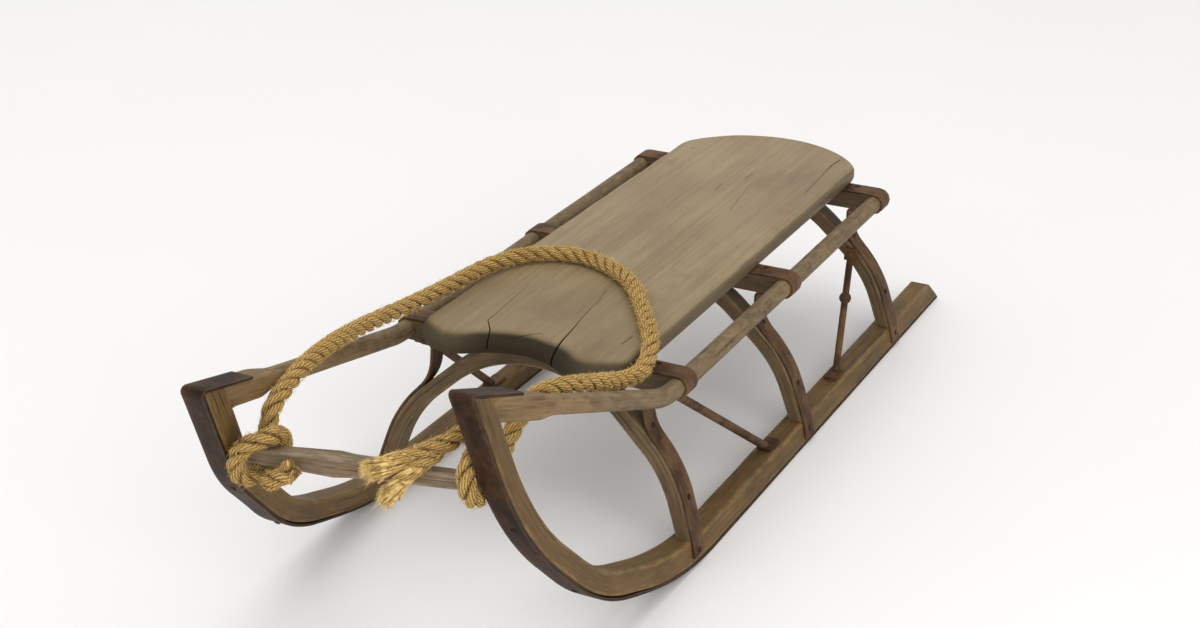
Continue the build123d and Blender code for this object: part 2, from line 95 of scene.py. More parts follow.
class Paint:
    """One material and the nodes that feed its shader."""

    def __init__(self, name):
        self.material = bpy.data.materials.new(name)
        self.material.use_nodes = True
        self.tree = self.material.node_tree
        self.shader = self.tree.nodes["Principled BSDF"]

    def feed(self, item, slot):
        if isinstance(item, Value):
            self.tree.links.new(item.socket, slot)
        else:
            slot.default_value = item

    def add(self, kind, feeds, output=0, **options):
        """The value of a new node with its options set and its inputs fed."""
        node = self.tree.nodes.new("ShaderNode" + kind)
        for name, option in options.items():
            setattr(node, name, option)
        for slot, item in feeds.items():
            self.feed(item, node.inputs[slot])
        return Value(self, node.outputs[output])

    def attribute(self, name, output="Vector"):
        return self.add("Attribute", {}, output, attribute_name=name)

    def place(self):
        """Where the point is on the object, in metres."""
        return self.add("TexCoord", {}, "Object")

    def parts(self, vector):
        """The three numbers of a vector."""
        first = self.add("SeparateXYZ", {0: vector})
        return [Value(self, out) for out in first.socket.node.outputs]

    def noise(self, vector, factors=(1, 1, 1), detail=3.0, rough=0.5, distort=0.0):
        """Cloudy noise from 0 to 1; factors say how many cells there are per metre."""
        scaled = self.add("VectorMath", {0: vector, 1: factors}, operation="MULTIPLY")
        feeds = {"Vector": scaled, "Scale": 1.0, "Detail": detail, "Roughness": rough, "Distortion": distort}
        return self.add("TexNoise", feeds, "Fac")

    def mix(self, share, one, two):
        """A colour between two others."""
        one, two = (item if isinstance(item, Value) else (*item, 1.0) for item in (one, two))
        return self.add("Mix", {0: share, 6: one, 7: two}, 2, data_type="RGBA")

    def bump(self, height, distance):
        return self.add("Bump", {"Strength": 1.0, "Distance": distance, "Height": height})

    def finish(self, colour, rough, normal, metallic=0.0, specular=0.5):
        feeds = {"Base Color": colour, "Roughness": rough, "Normal": normal, "Metallic": metallic}
        for slot, item in {**feeds, "Specular IOR Level": specular}.items():
            self.feed(item, self.shader.inputs[slot])
        return self.material

    def near_line(self, x, y, start, end, width):
        """1 on a thin line between two places, 0 away from it."""
        run_x, run_y = end[0] - start[0], end[1] - start[1]
        off_x, off_y = x - start[0], y - start[1]
        share = (off_x * run_x + off_y * run_y) / (run_x**2 + run_y**2)
        share = share.calc("MINIMUM", 1.0).calc("MAXIMUM", 0.0)
        gap = ((off_x - share * run_x) ** 2.0 + (off_y - share * run_y) ** 2.0) ** 0.5
        return 1 - gap.over(0.3 * width, width)


def wood_paint(name, dark, middle, light, stain, front=None):
    """Old bare wood: long streaks and fibres along the grain, stains and rubbed edges.

    front is a warmer tone for the part near the runner tops."""
    p = Paint(name)
    grain = p.attribute("grain")
    edge = p.attribute("edge", "Fac")
    streaks = p.noise(grain, (9, 430, 430), 5.0, 0.65, 0.3)
    fibres = p.noise(grain, (45, 1500, 1500), 3.0, 0.6)
    patches = p.noise(grain, (13, 34, 34), 4.0, 0.62)
    blots = p.noise(grain, (24, 70, 70), 5.0, 0.68)
    tone = streaks * 0.44 + fibres * 0.34 + patches * 0.32
    colour = p.mix(tone.over(0.42, 0.62), dark, middle)
    colour = p.mix(tone.over(0.56, 0.75), colour, light)
    colour = p.mix(blots.over(0.5, 0.72) * 0.5, colour, stain)
    warm = p.noise(grain, (17, 55, 55), 4.0, 0.6, 0.4).over(0.52, 0.7)
    colour = p.mix(warm * 0.42, colour, (light[0] * 0.8, light[1] * 0.58, light[2] * 0.45))
    if front:
        y = p.parts(p.place())[1]
        colour = p.mix(y.over(-0.25, -0.35) * tone.over(0.42, 0.6) * 0.6, colour, front)
    # Thin crack lines along the grain: their near-black fill is painted shade of the crack's depth, over a
    # shallow bump groove.
    cracks = p.noise(grain, (5, 330, 330), 2.0, 0.5, 0.3).over(0.66, 0.72)
    colour = p.mix(cracks * 0.75, colour, (0.02, 0.014, 0.01))
    worn = (edge * 0.55 + p.noise(grain, (60, 130, 130), 4.0, 0.7) * 0.9).over(0.85, 1.15)
    colour = p.mix(worn * 0.45, colour, [1.25 * c for c in light])
    height = streaks * 0.8 + fibres * 0.35 - cracks * 1.2
    roughness = streaks * 0.28 + 0.48 - worn * 0.08
    return p.finish(colour, roughness, p.bump(height, 0.0007), specular=0.35)


def seat_paint():
    """The seat board: worn smooth and satin, faint grain, drying cracks drawn as near-black lines (painted
    shade of their depth) over shallow grooves, small knots, edges darker from grime and painted shade,
    painted shade on the front face.
    """
    p = Paint("seat wood")
    grain = p.attribute("grain")
    x, y, z = p.parts(p.place())
    streaks = p.noise(grain, (4.5, 210, 120), 5.0, 0.6, 0.5)
    fibres = p.noise(grain, (26, 1200, 900), 3.0, 0.6)
    patches = p.noise(grain, (6, 13, 20), 4.0, 0.55)
    tone = streaks * 0.34 + fibres * 0.2 + patches * 0.48
    colour = p.mix(tone.over(0.36, 0.68), (0.2, 0.138, 0.068), (0.33, 0.25, 0.138))
    grey = p.noise(grain, (9, 30, 30), 4.0, 0.6).over(0.45, 0.75)
    colour = p.mix(grey * 0.5, colour, (0.262, 0.2, 0.117))
    # Drying cracks as thin lines: start, end, width in mm and strength. Their near-black fill is painted
    # shade of the crack's depth; the bump cuts a shallow groove.
    crack_line_table = [
        ((19.5, -52.3), (27.3, -87.3), 0.7, 0.55),
        ((96.4, 290.9), (94.2, 333.1), 0.7, 0.6),
        ((15.9, 308.4), (17.8, 324.3), 0.6, 0.6),
        ((0.9, 257.1), (-1.2, 281.4), 0.6, 0.55),
        ((41.5, 207.5), (30.1, 289.9), 0.6, 0.4),
        ((92.9, -138.8), (91.6, -159.7), 0.8, 0.7),
        ((10.6, -172.8), (-5.0, -183.0), 0.8, 0.8),
        ((-5.0, -183.0), (-16.8, -190.1), 0.8, 0.8),
    ]
    crack_grooves_and_shade = []
    for start, end, width, depth in crack_line_table:
        start, end = [c * MM for c in start], [c * MM for c in end]
        crack_grooves_and_shade.append(p.near_line(x, y, start, end, width * MM) * depth)
    knots = []
    knot_table = [(-84.9, -144.1, 5.0), (-81.4, 375.2, 5.0), (-3.8, 191.5, 3.5), (91.9, 112.1, 4.0)]
    for knot_x, knot_y, size in knot_table:
        off_x, off_y = (x - knot_x * MM) * 1.5, y - knot_y * MM
        gap = (off_x**2.0 + off_y**2.0) ** 0.5 + p.noise(grain, (160, 160, 160), 3.0) * 0.003
        knots.append(gap.over(1.1 * size * MM, 0.2 * size * MM))
    crack_grooves_and_shade, knots = (reduce(lambda one, two: one.calc("MAXIMUM", two), group) for group in (crack_grooves_and_shade, knots))
    smudges = p.noise(grain, (11, 22, 20), 4.0, 0.6, 0.4).over(0.52, 0.74)
    colour = p.mix(smudges * 0.4, colour, (0.13, 0.088, 0.042))
    colour = p.mix(knots * 0.75, colour, (0.055, 0.036, 0.022))
    # Painted shade: the crack lines are filled near-black to stand for the shade inside them.
    colour = p.mix(crack_grooves_and_shade, colour, (0.02, 0.014, 0.01))
    # The seat darkens as its edges roll down from the top: part grime, part painted shade where the rounded
    # edge turns away from the light.
    side = z.over(0.2102, 0.2045)
    edge_grime_and_shade = p.noise(grain, (40, 40, 120), 4.0, 0.65) * 0.6 + side * 0.7
    # Mask for the front face and its roll, strongest in the middle hollow; it also makes the surface rougher.
    hollow = (x - 0.008).calc("ABSOLUTE").over(0.085, 0.04) * 0.35 + 0.6
    front = y.over(-0.12, -0.17) * z.over(0.2103, 0.207) * hollow
    colour = p.mix(y.over(0.0, -0.11) * 0.36, colour, (0.14, 0.093, 0.038))
    # Painted shade and grime on the rolled edges.
    colour = p.mix(edge_grime_and_shade.over(0.45, 1.0) * 0.78, colour, (0.09, 0.06, 0.03))
    # Painted shade: the front face and its roll are made near-black, with some grime.
    colour = p.mix(front, colour, (0.017, 0.0115, 0.0035))
    height = streaks * 0.5 + fibres * 0.3 - crack_grooves_and_shade * 2.0 - knots * 0.6
    roughness = patches * 0.25 + fibres * 0.12 + 0.3 + front * 0.4
    return p.finish(colour, roughness, p.bump(height, 0.0005), specular=0.28)


def iron_paint(name, rust_share, dark, light):
    """Old iron: dark brown skin with rust freckles, rubbed smoother along the edges."""
    p = Paint(name)
    grain = p.attribute("grain")
    edge = p.attribute("edge", "Fac")
    clouds = p.noise(grain, (30, 45, 45), 5.0, 0.62, 0.5)
    freckles = p.noise(grain, (260, 320, 320), 4.0, 0.7)
    pits = p.noise(grain, (520, 620, 620), 3.0, 0.6)
    colour = p.mix(clouds.over(0.35, 0.68), dark, light)
    rust = (clouds * 0.5 + freckles * 0.6).over(0.56, 0.72)
    colour = p.mix(rust * rust_share, colour, (0.14, 0.062, 0.026))
    rubbed = (edge * 0.6 + freckles * 0.7).over(0.72, 1.05)
    colour = p.mix(rubbed * 0.28, colour, (0.15, 0.105, 0.07))
    roughness = freckles * 0.3 + 0.42 - rubbed * 0.1
    height = freckles * 0.5 + pits * 0.5
    return p.finish(colour, roughness, p.bump(height, 0.0004), metallic=rubbed * 0.2, specular=0.16)


def rope_paint():
    """Hard natural fibre: yarns that run nearly along the rope, straw to brown, with painted shade in the
    furrows between strands and between yarns.
    """
    p = Paint("rope fibre")
    lay = p.attribute("lay")
    place = p.place()
    along, around, depth = p.parts(lay)
    sway = p.noise(lay, (150, 5, 1), 3.0, 0.6)
    yarn = ((along * 360.0 + around * 9.0 + sway * 1.5) * tau).calc("SINE") * 0.5 + 0.5
    fibre = p.noise(lay, (520, 34, 1), 4.0, 0.7)
    hairs = p.noise(place, (900, 900, 900), 3.0, 0.6)
    patches = p.noise(place, (45, 45, 45), 4.0, 0.6)
    tone = fibre * 0.42 + patches * 0.42 + yarn * 0.28
    colour = p.mix(tone.over(0.35, 0.75), (0.32, 0.163, 0.042), (0.78, 0.53, 0.185))
    colour = p.mix(hairs.over(0.52, 0.7) * 0.6, colour, (0.88, 0.66, 0.27))
    # Painted shade in the grooves between the yarns.
    colour = p.mix(yarn.over(0.35, 0.0) * 0.4, colour, (0.2, 0.09, 0.022))
    colour = p.mix(patches.over(0.5, 0.72) * 0.6, colour, (0.33, 0.145, 0.04))
    # Painted shade in the furrows between strands, where each strand turns inward.
    colour = p.mix(depth.over(0.8, 0.46) * 0.65, colour, (0.1, 0.043, 0.012))
    height = yarn * 0.8 + fibre * 0.8 + hairs * 0.7
    return p.finish(colour, 0.9, p.bump(height, 0.0016), specular=0.12)


def fibre_paint():
    p = Paint("loose fibre")
    tone = p.noise(p.place(), (160, 160, 160), 2.0)
    colour = p.mix(tone.over(0.35, 0.65), (0.5, 0.31, 0.095), (0.84, 0.63, 0.27))
    return p.finish(colour, 0.8, p.bump(tone, 0.0001), specular=0.2)


bent_wood = wood_paint(
    "bent wood", dark=(0.073, 0.038, 0.0095), middle=(0.143, 0.081, 0.0215), light=(0.24, 0.143, 0.043),
    stain=(0.049, 0.028, 0.0085),
)  # fmt: skip
pole_wood = wood_paint(
    "pole wood", dark=(0.072, 0.044, 0.019), middle=(0.138, 0.09, 0.04), light=(0.23, 0.16, 0.079),
    stain=(0.05, 0.032, 0.016), front=(0.27, 0.16, 0.057),
)  # fmt: skip
bar_wood = wood_paint(
    "bar wood", dark=(0.046, 0.028, 0.011), middle=(0.093, 0.062, 0.027), light=(0.162, 0.113, 0.057),
    stain=(0.031, 0.02, 0.009),
)  # fmt: skip
seat_wood = seat_paint()
worn_wood = wood_paint(
    "worn wood", dark=(0.11, 0.078, 0.042), middle=(0.21, 0.152, 0.088), light=(0.32, 0.245, 0.155),
    stain=(0.07, 0.048, 0.028),
)  # fmt: skip
# The strap iron is painted lighter than the shoe iron, in part a painted sheen for the light its upper faces
# catch.
shoe_iron = iron_paint("shoe iron", 0.3, dark=(0.0155, 0.0056, 0.0012), light=(0.048, 0.0182, 0.0045))
strap_iron = iron_paint("strap iron", 0.4, dark=(0.046, 0.0215, 0.0086), light=(0.14, 0.072, 0.029))
rope_fibre = rope_paint()
loose_fibre = fibre_paint()


def outward_mesh(name, verts, faces):
    """A mesh whose faces look outward."""
    mesh = bpy.data.meshes.new(name)
    mesh.from_pydata(verts, [], faces)
    build = bmesh.new()
    build.from_mesh(mesh)
    bmesh.ops.recalc_face_normals(build, faces=build.faces)
    build.to_mesh(mesh)
    build.free()
    return mesh


def ring_faces(base, rings, count):
    """Faces between rings of count points; base is the index of the first point."""
    faces = []
    for ring in range(rings - 1):
        for k in range(count):
            a, b = base + ring * count + k, base + ring * count + (k + 1) % count
            faces.append((a, b, b + count, a + count))
    return faces


def piece(name, verts, faces, material, points=None, stands_for=(), sharp=38.0):
    """A mesh object that belongs to the sled. points holds named values for each vertex."""
    mesh = outward_mesh(name, verts, faces)
    for key, values in (points or {}).items():
        is_vector = key in ("grain", "lay")
        layer = mesh.attributes.new(key, "FLOAT_VECTOR" if is_vector else "FLOAT", "POINT")
        flat = [part for value in values for part in value] if is_vector else values
        layer.data.foreach_set("vector" if is_vector else "value", flat)
    mesh.shade_smooth()
    mesh.set_sharp_from_angle(angle=radians(sharp))
    mesh.materials.append(material)
    obj = add_object(name, mesh)
    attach(obj, "root")
    if stands_for:
        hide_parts(*stands_for)
    return obj


def eased(share):
    """A share kept between 0 and 1, with soft ends."""
    share = max(0.0, min(1.0, share))
    return share * share * (3 - 2 * share)


def section(half_a, half_b, radius):
    """Places (a, b, edge) round a rectangle with rounded corners. edge is 1 on a corner, 0 between."""
    corner_steps, flat_steps = 3, 3
    radius = min(radius, 0.98 * half_a, 0.98 * half_b)
    corners = []
    for turn, (side_a, side_b) in enumerate(((1, 1), (-1, 1), (-1, -1), (1, -1))):
        middle = (side_a * (half_a - radius), side_b * (half_b - radius))
        for step in range(corner_steps + 1):
            angle = pi / 2 * (turn + step / corner_steps)
            a, b = middle[0] + radius * cos(angle), middle[1] + radius * sin(angle)
            corners.append((a, b, 1.0))
    result = []
    for index, place in enumerate(corners):
        result.append(place)
        if index % (corner_steps + 1) == corner_steps:
            after = corners[(index + 1) % len(corners)]
            for step in range(1, flat_steps):
                share = step / flat_steps
                a, b = (place[i] + (after[i] - place[i]) * share for i in (0, 1))
                result.append((a, b, 0.0))
    return result


def skin(name, stations, material, slot, stands_for=(), wear=0.25 * MM, seed=0.0, chamfer=1.0 * MM):
    """A bar with a rounded section. A station is (middle, a, b, half a, half b, corner radius)."""
    rings = []
    travelled, before = 0.0, stations[0][0]
    for station in stations:
        travelled += (station[0] - before).length
        before = station[0]
        rings.append((*station, travelled))
    for end, inner in ((0, 1), (-1, -2)):
        middle, a_dir, b_dir, half_a, half_b, radius, s = rings[end]
        inward = (rings[inner][0] - middle).normalized() * chamfer
        rings[end] = (middle + inward, a_dir, b_dir, half_a, half_b, radius, s)
        small = (middle, a_dir, b_dir, half_a - chamfer, half_b - chamfer, radius, s)
        rings.insert(0 if end == 0 else len(rings), small)
    verts, grain, edges = [], [], []
    for middle, a_dir, b_dir, half_a, half_b, radius, s in rings:
        places = section(half_a, half_b, radius)
        for a, b, edge in places:
            spot = Vector((s * 14 + seed, a * 70, b * 70))
            push = 1 + noise.noise(spot) * wear / max(half_a, half_b)
            verts.append(middle + a_dir * (a * push) + b_dir * (b * push))
            grain.append((s + seed, a, b))
            edges.append(edge)
    count = len(places)
    faces = ring_faces(0, len(rings), count)
    faces.append(tuple(range(count)))
    faces.append(tuple(range((len(rings) - 1) * count, len(rings) * count)))
    return piece(name, verts, faces, material, {"grain": grain, "edge": edges}, stands_for)


def heading(points, index):
    """The direction of a line at one of its points."""
    return (points[min(index + 1, len(points) - 1)] - points[max(index - 1, 0)]).normalized()


def swing(one, two, angle):
    """The direction at an angle from one towards two."""
    return one * cos(angle) + two * sin(angle)


def beside(points, offset):
    """The corners of a line, moved to its left by offset."""
    runs = [(b - a).normalized() for a, b in zip(points[:-1], points[1:])]
    normals = [Vector((-run.y, run.x)) for run in runs]
    moved = [points[0] + normals[0] * offset]
    for corner, one, two in zip(points[1:-1], normals[:-1], normals[1:]):
        half = (one + two).normalized()
        moved.append(corner + half * (offset / half.dot(one)))
    moved.append(points[-1] + normals[-1] * offset)
    return moved


def radii_beside(points, radii, offset):
    """Bend radii of the moved line."""
    result = []
    for a, b, c, radius in zip(points[:-2], points[1:-1], points[2:], radii):
        left_turn = (b - a).cross(c - b) > 0
        result.append(radius - offset if left_turn else radius + offset)
    return result


def bent(points, radii, gap, counts=None):
    """Places along a line with rounded corners, and how many there are on each stretch."""
    result, used, at = [points[0].copy()], [], points[0]
    given = iter(counts or [])

    def shares(least, length):
        """Even shares of a stretch, as many as counts says or as its length needs."""
        used.append(next(given) if counts else max(least, ceil(length / gap)))
        return [step / used[-1] for step in range(1, used[-1] + 1)]

    for corner, after, radius in zip(points[1:-1], points[2:], radii):
        one, two = (corner - at).normalized(), (after - corner).normalized()
        turn = one.angle(two)
        tangent = radius * tan(turn / 2)
        start = corner - one * tangent
        inward = (two - one * one.dot(two)).normalized()
        middle = start + inward * radius
        result += [at.lerp(start, share) for share in shares(1, (start - at).length)]
        for share in shares(3, radius * turn):
            result.append(middle + swing(-inward, one, turn * share) * radius)
        at = corner + two * tangent
    result += [at.lerp(points[-1], share) for share in shares(1, (points[-1] - at).length)]
    return result, used


def strip(name, line, radii, offset, place, across, corner, other=None, gap=7.0, lift=None, **look):
    """A bent strip between a line and its neighbour at offset. place puts a flat point into space.

    across spans its width, corner rounds its long edges, lift says how far it stands off at a point."""
    ones, counts = bent(line, radii, gap)
    twos, counts = bent(other or beside(line, offset), radii_beside(line, radii, offset), gap, counts)
    stations = []
    for one, two in zip(ones, twos):
        near, far = place(one), place(two)
        if lift:
            push = (far - near).normalized() * lift(one)
            near, far = near + push, far + push
        middle = (near + far + across) / 2
        if (far - near).length < 0.2 * MM or (stations and (stations[-1][0] - middle).length < 0.05 * MM):
            continue
        half_b = (far - near).length / 2
        span = (far - near).normalized()
        stations.append((middle, across.normalized(), span, across.length / 2, half_b, corner))
    skin(name, stations, **look)
    return stations


# Runners and their iron shoes, with the sizes of the frame
lean = 0.2
lean_length = sqrt(1 + lean**2)
shoe_thick, runner_thick, runner_width, foot_x, tail_y, tail_slant = 3.0, 23.0, 24.0, 184.2, 543.0, 22.0
strap_thick = 3.0
rail_x, rail_z, rail_r = 150.0, 178.0, 9.5
iron_look = {"corner": 0.9 * MM, "wear": 0.12 * MM, "chamfer": 0.6 * MM}
strap_look = {"material": strap_iron, "slot": "strap_iron", **iron_look}
nail_step = 118.0 * MM


def lean_point(y, z):
    """A place in the runner's plane, which leans outward."""
    return Vector((y, z * lean_length))


# side, sign of x, where the bend starts, belly, brow and top corner as (y, z), rise of the rail
runner_table = [
    ("left", 1, -213.0, (-360.0, 58.5), (-457.5, 165.0), (-484.0, 305.0), 0.388),
    ("right", -1, -222.0, (-376.5, 57.5), (-474.5, 158.0), (-540.0, 283.0), 0.260),
]
nails = []
for number, (side, sign, knee_y, belly, brow, corner, rise) in enumerate(runner_table):

    def stand(point):
        z = point.y / lean_length
        return Vector((sign * (foot_x - lean * z), point.x, z)) * MM

    sole = [lean_point(tail_y, shoe_thick), lean_point(knee_y, shoe_thick)]
    sole += [lean_point(*belly), lean_point(*brow), lean_point(*corner)]
    bends = [400.0, 205.0, 240.0]
    top = beside(sole, -runner_thick)
    top[0] = Vector((tail_y - tail_slant, top[0].y))
    post = top[-1] - top[-2]
    along = Vector((1.0, -rise * lean_length))
    reach = (sole[-1] - top[-2]).cross(along) / post.cross(along)
    top[-1] = top[-2] + post * reach
    inward = Vector((-sign * runner_width * MM, 0, 0))
    strip(
        "runner_wood_" + side, sole, bends, -runner_thick, stand, inward, 2.2 * MM, top,
        material=bent_wood, slot="bent_wood", stands_for=["runner_" + side], seed=1.7 + number,
        wear=0.45 * MM, chamfer=0.8 * MM,
    )  # fmt: skip

    def loose(point):
        """How far the iron has sprung away from the wood, below the front bend."""
        share = (point.x - (belly[0] + 25.0)) / 75.0
        return 1.3 * MM * max(0.0, 1 - share * share) if point.y < 120 else 0.0

    leg_end = lean_point(corner[0] + 70.0, corner[1] - rise * 70.0)
    shoe = strip(
        "shoe_iron_" + side, sole + [leg_end], bends + [1.5], shoe_thick, stand, inward, lift=loose,
        material=shoe_iron, slot="shoe_iron", stands_for=["shoe_" + side], seed=4.1 + number, **iron_look,
    )  # fmt: skip
    travelled = 0.0
    for one, two in zip(shoe[:-1], shoe[1:]):
        before = travelled
        travelled += (two[0] - one[0]).length
        new_step = int(before / nail_step) != int(travelled / nail_step)
        if new_step and 0.03 < one[0].z < 0.25:
            nails.append((one[0] + one[2] * one[4], one[2], 3.4))

# Side rails: round poles that turn square before the runner tops
rail_rear_y, rail_bend_r, post_drop, post_sink = 404.0, 100.0, 11.0, 0.6
block_length, blend_length, block_half, block_corner = 88.0, 34.0, 11.0, 2.2
for number, (side, sign, knee_y, belly, brow, corner, rise) in enumerate(runner_table):
    slope = sqrt(1 + rise**2)
    front_z = corner[1] - post_drop * slope
    bend_y = corner[0] + (front_z - rail_z) / rise
    front_x = foot_x - lean * corner[1] - runner_width / 2
    rear = Vector((sign * rail_x, rail_rear_y, rail_z))
    bend = Vector((sign * rail_x, bend_y, rail_z))
    front = Vector((sign * front_x, corner[0], front_z))
    post_low, post_high = beside([lean_point(*brow), lean_point(*corner)], -runner_thick + post_sink)
    post_run = Vector((post_high.x - post_low.x, (post_high.y - post_low.y) / lean_length))
    run = Vector((front.y - bend.y, front.z - bend.z))
    gap = Vector((post_low.x - bend.y, post_low.y / lean_length - bend.z))
    reach = gap.cross(post_run) / run.cross(post_run)
    front = bend + (front - bend) * reach
    end_dir = Vector((0, post_run.x, post_run.y)).normalized()
    middles, counts = bent([rear, bend, front], [rail_bend_r], 7.0)
    stations = []
    for index, middle in enumerate(middles):
        b_dir = heading(middles, index).cross(Vector((1, 0, 0))).normalized()
        square = eased((corner[0] + block_length + blend_length - middle.y) / blend_length)
        half = (rail_r + (block_half - rail_r) * square) * MM
        radius = (rail_r + (block_corner - rail_r) * square) * MM
        half_b = half
        if index == len(middles) - 1:
            half_b = half / abs(end_dir.dot(b_dir))
            b_dir = end_dir * (1 if end_dir.dot(b_dir) > 0 else -1)
        stations.append((middle * MM, Vector((1, 0, 0)), b_dir, half, half_b, radius))
    skin("rail_pole_" + side, stations, pole_wood, "bent_wood", ["rail_" + side], 0.3 * MM, 7.3 + number)

# Bows with the flat irons up their legs, and the irons round the rails
seat_z = rail_z + rail_r + strap_thick
runner_top_z = shoe_thick + runner_thick / lean_length
bow_foot_x, knee, knee_r, bow_thick, bow_depth = 179.0, (156.0, 96.4), 140.0, 17.0, 22.0
bow_offset, hoop_offset, hoop_wide = 13.0, 12.0, 24.0
bow_top_z, foot_sink, strap_leave_x, hook_x, hoop_start_x, hoop_z = 185.0, 0.4, 118.0, 132.0, 97.0, 187.5
under_z = rail_z - rail_r
shoulder = radians(42.0)
crown_z = knee[1] + knee[0] * tan(shoulder)
crown_r = (crown_z - bow_top_z) / (1 / cos(shoulder) - 1)
foot_slope = (bow_foot_x - knee[0]) / (knee[1] - runner_top_z)
bow_table = [("front", -150.0, 0.13), ("middle", 113.0, 0.0), ("rear", 387.0, 0.0)]
for number, (name, bar_y, bow_lean) in enumerate(bow_table):
    stretch = sqrt(1 + bow_lean**2)

    def on_bow(x, z):
        return Vector((x, (z - seat_z) * stretch))

    def upright(point):
        drop = point.y / stretch
        return Vector((point.x, bar_y - bow_offset + drop * bow_lean, seat_z + drop)) * MM

    depth, hoop_width = (Vector((0, wide * MM, 0)) for wide in (bow_depth, hoop_wide))
    low = runner_top_z - foot_sink
    foot = bow_foot_x + foot_slope * foot_sink
    outer = [on_bow(-foot, low), on_bow(-knee[0], knee[1]), on_bow(0, crown_z)]
    outer += [on_bow(knee[0], knee[1]), on_bow(foot, low)]
    inner = beside(outer, -bow_thick)
    inner[0].y = inner[-1].y = outer[0].y
    strip(
        "bow_wood_" + name, outer, [knee_r, crown_r, knee_r], -bow_thick, upright, depth, 2.0 * MM, inner,
        material=pole_wood, slot="bent_wood", stands_for=["bow_" + name], seed=11.3 + number, wear=0.4 * MM,
    )  # fmt: skip

    low_z = 6.0 if bow_lean == 0 else 11.0
    leave_z = knee[1] + (knee[0] - strap_leave_x) * tan(shoulder)
    for side, sign in (("left", 1), ("right", -1)):
        line = [(foot_x - lean * low_z, low_z), (bow_foot_x, runner_top_z), knee]
        line += [(strap_leave_x, leave_z), (strap_leave_x, under_z), (hook_x, under_z)]
        flat = [on_bow(sign * x, z) for x, z in line]
        strap = strip(
            f"leg_strap_{name}_{side}", flat, [1.0, knee_r, 46.0, 5.5], -sign * strap_thick, upright, depth,
            gap=6.0, seed=19.0 + number + sign * 0.3, stands_for=[f"bow_strap_{name}_{side}"], **strap_look,
        )  # fmt: skip
        heights = [0.014, 0.062, 0.128]
        for one in strap:
            if heights and one[0].z > heights[0] and abs(one[0].x) > 0.12:
                heights.pop(0)
                nails.append((one[0] + one[2] * one[4], one[2], 3.2))

        outer_x = rail_x + rail_r
        hoop = [(hoop_start_x, hoop_z), (outer_x, hoop_z), (outer_x, under_z), (hook_x, under_z)]
        flat = [Vector((sign * x, z)) for x, z in hoop]

        def square_on(point):
            return Vector((point.x, bar_y - hoop_offset, point.y)) * MM

        strip(
            f"rail_hoop_{name}_{side}", flat, [rail_r - 0.01] * 2, sign * strap_thick, square_on, hoop_width,
            gap=5.0, seed=31.0 + number + sign * 0.4, stands_for=[f"rail_strap_{name}_{side}"], **strap_look,
        )  # fmt: skip
        for nail_x, nail_y in ((108.0, -5.0), (124.0, 5.0)):
            spot = Vector((sign * nail_x, bar_y + nail_y, hoop_z + strap_thick)) * MM
            if nail_x > 116 or name == "front":
                nails.append((spot, Vector((0, 0, 1)), 3.2))

# Hewn bar between the runner posts
bar_right, bar_left = Vector((-128.0, -486.0, 199.0)), Vector((126.0, -457.0, 214.5))
# share of the length, depth, height
bar_table = [(0.0, 13.0, 13.0), (0.28, 16.0, 18.0), (0.42, 17.0, 21.0), (0.47, 16.0, 18.0), (1.0, 13.0, 13.0)]
bar_steps = 48
stations = []
for step in range(bar_steps + 1):
    share = step / bar_steps
    for (s0, d0, h0), (s1, d1, h1) in zip(bar_table[:-1], bar_table[1:]):
        if s0 <= share <= s1:
            part = (share - s0) / (s1 - s0)
            bar_d, bar_h = d0 + (d1 - d0) * part, h0 + (h1 - h0) * part
    middle = bar_right.lerp(bar_left, share) * MM
    half_d, half_h = bar_d / 2 * MM, bar_h / 2 * MM
    stations.append((middle, Vector((0, 1, 0)), Vector((0, 0, 1)), half_d, half_h, 2.8 * MM))
skin("hewn_bar", stations, worn_wood, "bar_wood", ["front_bar"], 0.9 * MM, 40.0)


def merged_copy(node_name, name, material, along, bevel, seed):
    """A CAD solid as one clean mesh with softened edges. along is the axis that its grain follows."""
    build = bmesh.new()
    build.from_mesh(nodes[node_name].data)
    bmesh.ops.remove_doubles(build, verts=build.verts, dist=0.01 * MM)
    bmesh.ops.dissolve_limit(build, angle_limit=radians(1.5), verts=build.verts, edges=build.edges)
    verts = [v.co.copy() for v in build.verts]
    faces = [[v.index for v in face.verts] for face in build.faces]
    build.free()
    first, second = (0, 1) if along == "x" else (1, 0)
    grain = [(co[first] + seed, co[second], co[2]) for co in verts]
    points = {"grain": grain, "edge": [0.0] * len(verts)}
    obj = piece(name, verts, faces, material, points, [node_name])
    soft = obj.modifiers.new("soft edges", "BEVEL")
    soft.width = bevel
    soft.segments = 2
    soft.limit_method = "ANGLE"
    soft.angle_limit = radians(35)
    soft.harden_normals = False


for number, name in enumerate(("front", "middle", "rear")):
    wood_name = "cross_wood_" + name
    merged_copy("crossbar_" + name, wood_name, bar_wood, "x", 1.3 * MM, 50.0 + number)
for number, side in enumerate(("left", "right")):
    for kind, seed in (("brace", 60.0), ("rod", 64.0)):
        iron_name = f"{kind}_iron_{side}"
        merged_copy(f"{kind}_{side}", iron_name, strap_iron, "y", 0.5 * MM, seed + number)


